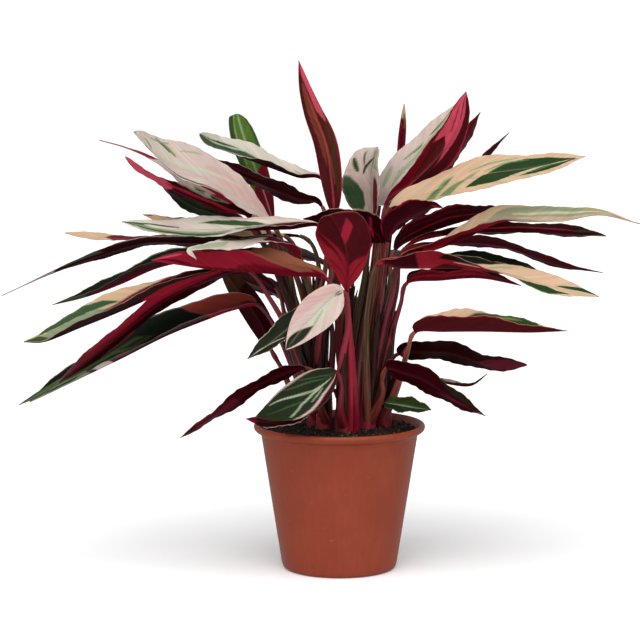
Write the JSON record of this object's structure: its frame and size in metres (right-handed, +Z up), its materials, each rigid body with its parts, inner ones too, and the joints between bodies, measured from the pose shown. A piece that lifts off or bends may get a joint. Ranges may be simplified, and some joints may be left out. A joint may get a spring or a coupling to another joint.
{
  "type": "potted stromanthe triostar",
  "caption": "Bushy foliage plant with long pointed cream, pink, green and maroon leaves on thin stalks, standing in a tapered round pot.",
  "frame": {"origin": "middle of the pot's flat underside, on the surface that the pot stands on", "axes": "+Z up, along the pot's axis; +X to the right of the plant's front, along its widest spread; -Y towards the viewer in front"},
  "size_m": [0.6307, 0.3568, 0.5022],
  "materials": {
    "terracotta_plastic": "satin moulded plastic",
    "peat": "dark crumbly peat",
    "stalk": "smooth waxy stalk",
    "leaf_maroon": "thin satin leaf, mainly maroon",
    "leaf_crimson": "thin satin leaf, mainly crimson",
    "leaf_cream": "thin satin leaf, mainly cream",
    "leaf_pink": "thin satin leaf, mainly pink",
    "leaf_green": "thin satin leaf, mainly green"
  },
  "bodies": {
    "root": {"pot": "terracotta_plastic", "soil": "peat", "shoot_left": "stalk", "shoot_front_left": "stalk", "shoot_front": "stalk", "shoot_right_front": "stalk", "shoot_right": "stalk", "shoot_back": "stalk", "shoot_back_left": "stalk", "leaf_left_01": "leaf_pink", "leaf_left_02": "leaf_cream", "leaf_left_03": "leaf_green", "leaf_left_04": "leaf_maroon", "leaf_left_05": "leaf_pink", "leaf_left_06": "leaf_crimson", "leaf_left_07": "leaf_green", "leaf_left_08": "leaf_cream", "leaf_left_09": "leaf_cream", "leaf_left_10": "leaf_pink", "leaf_left_11": "leaf_maroon", "leaf_left_12": "leaf_maroon", "leaf_left_13": "leaf_crimson", "leaf_left_14": "leaf_cream", "leaf_left_15": "leaf_green", "leaf_left_16": "leaf_maroon", "leaf_left_17": "leaf_crimson", "leaf_left_18": "leaf_maroon", "leaf_top_01": "leaf_maroon", "leaf_top_02": "leaf_green", "leaf_top_03": "leaf_cream", "leaf_top_04": "leaf_crimson", "leaf_top_05": "leaf_maroon", "leaf_top_06": "leaf_maroon", "leaf_top_07": "leaf_crimson", "leaf_right_01": "leaf_cream", "leaf_right_02": "leaf_maroon", "leaf_right_03": "leaf_maroon", "leaf_right_04": "leaf_cream", "leaf_right_05": "leaf_maroon", "leaf_right_06": "leaf_maroon", "leaf_right_07": "leaf_green", "leaf_right_08": "leaf_crimson", "leaf_right_09": "leaf_maroon", "leaf_right_10": "leaf_maroon", "leaf_right_11": "leaf_maroon", "leaf_right_12": "leaf_maroon", "leaf_right_13": "leaf_maroon", "leaf_right_14": "leaf_green", "leaf_front_01": "leaf_crimson", "leaf_front_02": "leaf_maroon", "leaf_front_03": "leaf_pink", "leaf_front_04": "leaf_green", "leaf_front_05": "leaf_maroon", "leaf_front_06": "leaf_green", "leaf_front_07": "leaf_maroon", "leaf_back_01": "leaf_green", "leaf_back_02": "leaf_cream", "leaf_back_03": "leaf_green", "leaf_back_04": "leaf_crimson", "leaf_back_05": "leaf_maroon"}
  },
  "joints": []
}
